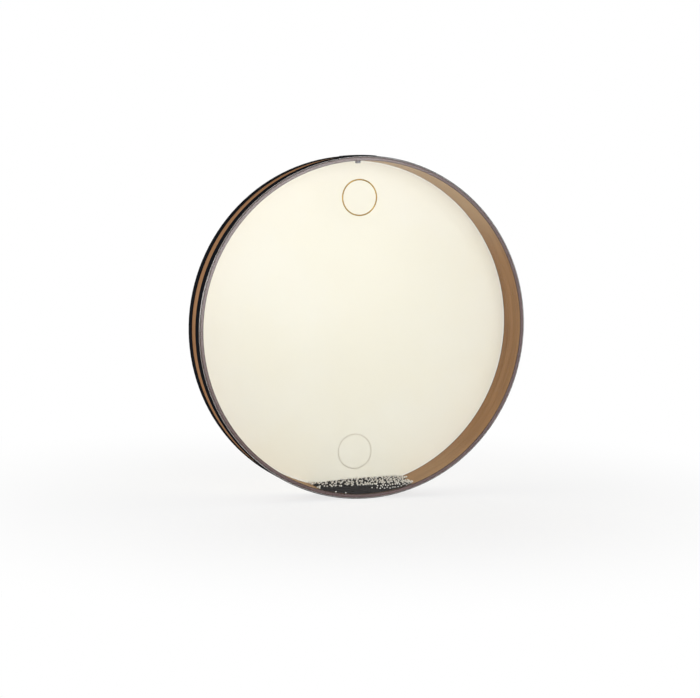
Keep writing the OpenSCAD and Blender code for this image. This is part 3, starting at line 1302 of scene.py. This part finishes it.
@dataclass(frozen=True)
class FineShot:
    """The fine dark shot: a core under a skin of separate grains."""

    bed: HeapBed
    bead_radius: float
    grain: float = 0.68 * MM
    spacing: float = 1.2 * MM
    crowding: float = 1.2e6
    left: float = -80 * MM
    right: float = 91 * MM
    step: float = 1.5 * MM
    seed: int = 23
    smallest: float = 0.8
    subdivisions: int = 1
    margin: float = 6 * MM
    steps_round: int = 720
    finish: GrainFinish = GrainFinish(
        "dark_shot", linear(28, 20, 19), linear(11, 8, 8),
        rough=0.55, shine=0.1, specks=Noise(1200.0, 2.0),
    )

    def cutter(self, name: str, radius: float, half: float) -> Piece:
        """A cylinder on the drum's axis.

        Args:
            name: Name of the object.
            radius: Its radius.
            half: Half its length.

        Returns:
            The cylinder.
        """
        shape = bmesh.new()
        bmesh.ops.create_cone(
            shape, cap_ends=True, segments=self.steps_round, radius1=radius, radius2=radius,
            depth=2 * half, matrix=Matrix.Rotation(math.pi / 2, 4, "X"),
        )
        piece = new_piece(name)
        shape.to_mesh(piece.data)
        shape.free()
        return piece

    def block(self) -> Piece:
        """A block whose top is the shot's surface, lowered by a grain.

        Returns:
            The block.
        """
        half_y = self.bed.half_depth - self.grain
        columns = round((self.right - self.left) / self.step)
        rows = round(2 * half_y / self.step)
        shape = bmesh.new()
        grid = []
        for column in range(columns + 1):
            x = self.left + (self.right - self.left) * column / columns
            line = []
            for row in range(rows + 1):
                y = -half_y + 2 * half_y * row / rows
                line.append(shape.verts.new((x, y, self.bed.shot_height(x, y) - self.grain)))
            grid.append(line)
        for first, second in zip(grid, grid[1:]):
            for row in range(rows):
                shape.faces.new((first[row], second[row], second[row + 1], first[row + 1]))
        rim = [edge for edge in shape.edges if edge.is_boundary]
        sides = bmesh.ops.extrude_edge_only(shape, edges=rim)["geom"]
        for vert in (item for item in sides if isinstance(item, bmesh.types.BMVert)):
            vert.co.z = -self.bed.bed_radius - self.margin
        bmesh.ops.contextual_create(shape, geom=[edge for edge in shape.edges if edge.is_boundary])
        bmesh.ops.recalc_face_normals(shape, faces=shape.faces)
        piece = new_piece("fine_shot")
        shape.to_mesh(piece.data)
        shape.free()
        return piece

    def core(self) -> Piece:
        """Cut the block to the wall and to the nut's groove.

        Returns:
            The closed core.
        """
        bed = self.bed
        piece = self.block()
        wall = self.cutter("shot_wall_cutter", bed.bed_radius - self.grain, bed.half_depth)
        groove_half = bed.groove_half + self.grain
        ring = self.cutter("shot_groove_cutter", bed.bed_radius + self.margin, groove_half)
        middle = self.cutter("shot_middle_cutter", bed.groove_roof - self.grain, bed.half_depth)
        cut(ring, middle, "DIFFERENCE")
        cut(piece, wall, "INTERSECT")
        cut(piece, ring, "DIFFERENCE")
        for cutter in (wall, ring, middle):
            bpy.data.objects.remove(cutter)
        return piece

    def build(self, beads: Piece) -> Piece:
        """Grow a skin of grains on the core, clear of the light beads.

        Args:
            beads: Object whose points are the light beads' centres.

        Returns:
            The shot as one piece.
        """
        tree = GeometryTree("shot_tree")
        spread = tree.add(
            "GeometryNodeDistributePointsOnFaces",
            {"distribute_method": "POISSON"},
            Mesh=tree.start,
            Distance_Min=tree.named("Space between grains", self.spacing),
            Density_Max=tree.named("Grains tried on a square metre", self.crowding),
            Seed=tree.named("Seed of the grains", self.seed),
        )
        centres = tree.add("GeometryNodeObjectInfo", Object=tree.named("Light beads", beads))
        nearest = tree.add(
            "GeometryNodeProximity", {"target_element": "POINTS"}, Geometry=centres.outputs["Geometry"]
        )
        hit = tree.add(
            "FunctionNodeCompare",
            {"data_type": "FLOAT", "operation": "LESS_THAN"},
            A=nearest.outputs["Distance"],
            B=tree.named("Clearance round a bead", self.bead_radius + self.grain / 2),
        )
        kept = tree.add(
            "GeometryNodeDeleteGeometry",
            {"domain": "POINT"},
            Geometry=spread.outputs["Points"],
            Selection=hit.outputs["Result"],
        )
        ball = tree.add(
            "GeometryNodeMeshIcoSphere",
            Radius=tree.named("Radius of a grain", self.grain),
            Subdivisions=tree.named("Subdivisions of a grain", self.subdivisions),
        )
        smooth = tree.add("GeometryNodeSetShadeSmooth", Geometry=ball.outputs["Mesh"])
        cloud = GrainCloud(self.seed, self.smallest)
        grains = cloud.grow_on(tree, kept.outputs[0], smooth.outputs[0])
        whole = tree.add("GeometryNodeJoinGeometry")
        tree.feed(whole.inputs[0], grains)
        tree.feed(whole.inputs[0], tree.start)
        return tree.grow(whole.outputs[0], self.finish.material(), self.core())


def cut(piece: Piece, cutter: Piece, kind: str) -> None:
    """Cut one closed mesh with another and keep the result.

    Args:
        piece: Object whose mesh changes.
        cutter: Object that cuts it.
        kind: Boolean operation.
    """
    modifier = piece.modifiers.new(kind.lower(), "BOOLEAN")
    modifier.operation = kind
    modifier.solver = "EXACT"
    modifier.object = cutter
    settle(piece)


@dataclass(frozen=True)
class Heap:
    """The heap that rolls inside the drum."""

    bed: HeapBed
    bead_nodes: tuple[str, ...] = ("front_beads", "middle_beads", "back_beads", "window_beads")

    def build(self) -> None:
        """Build the shot and the beads and put them on the heap's body."""
        beads = LightBeads(self.bed)
        points = beads.points()
        shot = FineShot(self.bed, beads.radius).build(points)
        piece = beads.build(points)
        join_frame(shot, Body.HEAP, ("dark_shot",))
        join_frame(piece, Body.HEAP, self.bead_nodes)


@dataclass(frozen=True)
class StudioCamera:
    """The camera, at the photograph's viewing angle and framing."""

    azimuth: float = -18.86
    elevation: float = 4.72
    roll: float = 0.92
    distance: float = 3.199
    focal_px: float = 1946.3
    centre_px: tuple[float, float] = (359.34, 326.81)
    image_px: tuple[int, int] = (700, 698)
    sensor: float = 36.0
    clip_end: float = 100.0

    def build(self) -> None:
        """Make the camera and give it to the scene."""
        data = bpy.data.cameras.new("studio_camera")
        wide, high = self.image_px
        data.sensor_width = self.sensor
        data.lens = self.focal_px / wide * self.sensor
        data.shift_x = (wide / 2 - self.centre_px[0]) / wide
        data.shift_y = (self.centre_px[1] - high / 2) / wide
        data.clip_end = self.clip_end
        turn, rise, roll = (math.radians(a) for a in (self.azimuth, self.elevation, self.roll))
        back = Vector((
            math.sin(turn) * math.cos(rise), -math.cos(turn) * math.cos(rise), math.sin(rise)
        ))
        level = Vector((math.cos(turn), math.sin(turn), 0.0))
        upright = back.cross(level)
        right = math.cos(roll) * level + math.sin(roll) * upright
        up = math.cos(roll) * upright - math.sin(roll) * level
        axes = Matrix((right, up, back)).transposed().to_4x4()
        camera = bpy.data.objects.new("studio_camera", data)
        camera.matrix_world = Matrix.Translation(back * self.distance) @ axes
        bpy.context.scene.collection.objects.link(camera)
        bpy.context.scene.camera = camera


@dataclass(frozen=True)
class Softbox:
    """A rectangular area lamp that looks at a point."""

    name: str
    place: Place
    target: Place
    width: float
    height: float
    radiance: float

    def build(self) -> None:
        """Make the lamp with the power that gives its radiance."""
        data = bpy.data.lights.new(self.name, "AREA")
        data.shape = "RECTANGLE"
        data.size = self.width
        data.size_y = self.height
        data.energy = self.radiance * math.pi * self.width * self.height
        lamp = bpy.data.objects.new(self.name, data)
        aim = Vector(self.target) - Vector(self.place)
        lamp.rotation_euler = aim.to_track_quat("-Z", "Y").to_euler()
        lamp.location = self.place
        bpy.context.scene.collection.objects.link(lamp)


@dataclass(frozen=True)
class Studio:
    """Floor, white surroundings and soft lamps."""

    floor_height: float
    floor_half: float = 9.0
    floor_tone: Colour = (0.92, 0.92, 0.91, 1.0)
    fade_from: float = 0.25
    fade_to: float = 0.9
    surround: float = 0.42
    shade_share: float = 0.25
    lamps: tuple[Softbox, ...] = (
        Softbox(
            "front_softbox", (0.22, -3.0, 0.40), (0.22, 0.0, 0.40), width=1.9, height=2.1, radiance=4.2
        ),
        Softbox("side_softbox", (-3.0, 0.25, 0.7), ORIGIN, width=2.2, height=1.6, radiance=2.2),
        Softbox("back_softbox", (0.3, 2.6, 0.9), ORIGIN, width=2.2, height=2.0, radiance=2.7),
    )

    def seen(self, graph: ShaderGraph) -> Socket:
        """Tell rays from the camera, a gloss or a glass, which give 1, from light, which gives 0.

        Args:
            graph: Graph to build in.

        Returns:
            The share's socket.
        """
        path = graph.add("ShaderNodeLightPath")
        gloss = graph.calc("MAXIMUM", path.outputs["Is Camera Ray"], path.outputs["Is Glossy Ray"])
        return graph.calc("MAXIMUM", gloss, path.outputs["Is Transmission Ray"])

    def world(self) -> None:
        """Surround the drum with even light that looks white."""
        graph = ShaderGraph("studio_world", world=True)
        strength = graph.span(self.seen(graph), 0.0, 1.0, self.surround, 1.0)
        light = graph.add("ShaderNodeBackground", Color=WHITE, Strength=strength)
        bpy.context.scene.world = graph.finished(light.outputs["Background"])

    def floor(self) -> None:
        """Lay a pale floor that takes a soft shadow and fades into white."""
        half = self.floor_half
        signs = ((-1, -1), (1, -1), (1, 1), (-1, 1))
        corners = [(x * half, y * half, self.floor_height) for x, y in signs]
        mesh = bpy.data.meshes.new("studio_floor")
        mesh.from_pydata(corners, [], [(0, 1, 2, 3)])
        piece = new_piece("studio_floor", mesh)
        graph = ShaderGraph("studio_floor")
        x, y, _ = graph.parts(graph.place())
        reach = graph.distance(x, y)
        fade = graph.span(reach, self.fade_from, self.fade_to, 1 - self.shade_share, 1.0)
        share = graph.calc("MULTIPLY", fade, self.seen(graph))
        grey = graph.add("ShaderNodeBsdfDiffuse", Color=self.floor_tone)
        white = graph.add("ShaderNodeEmission")
        floor = graph.mixed(share, grey.outputs["BSDF"], white.outputs["Emission"])
        mesh.materials.append(graph.finished(floor))

    def build(self) -> None:
        """Set up the whole studio."""
        self.world()
        self.floor()
        for lamp in self.lamps:
            lamp.build()
        bpy.context.scene.view_settings.view_transform = "Standard"


def main() -> None:
    """Build the drum's looks and the studio round it."""
    logging.basicConfig(level=logging.INFO, format="%(name)s: %(message)s")
    sizes = DrumSizes()
    StudioCamera().build()
    Studio(sizes.floor_height).build()
    Wall().build()
    Heads(sizes).build()
    Trim().build()
    Heap(HeapBed()).build()


if __name__ == "__main__":
    main()
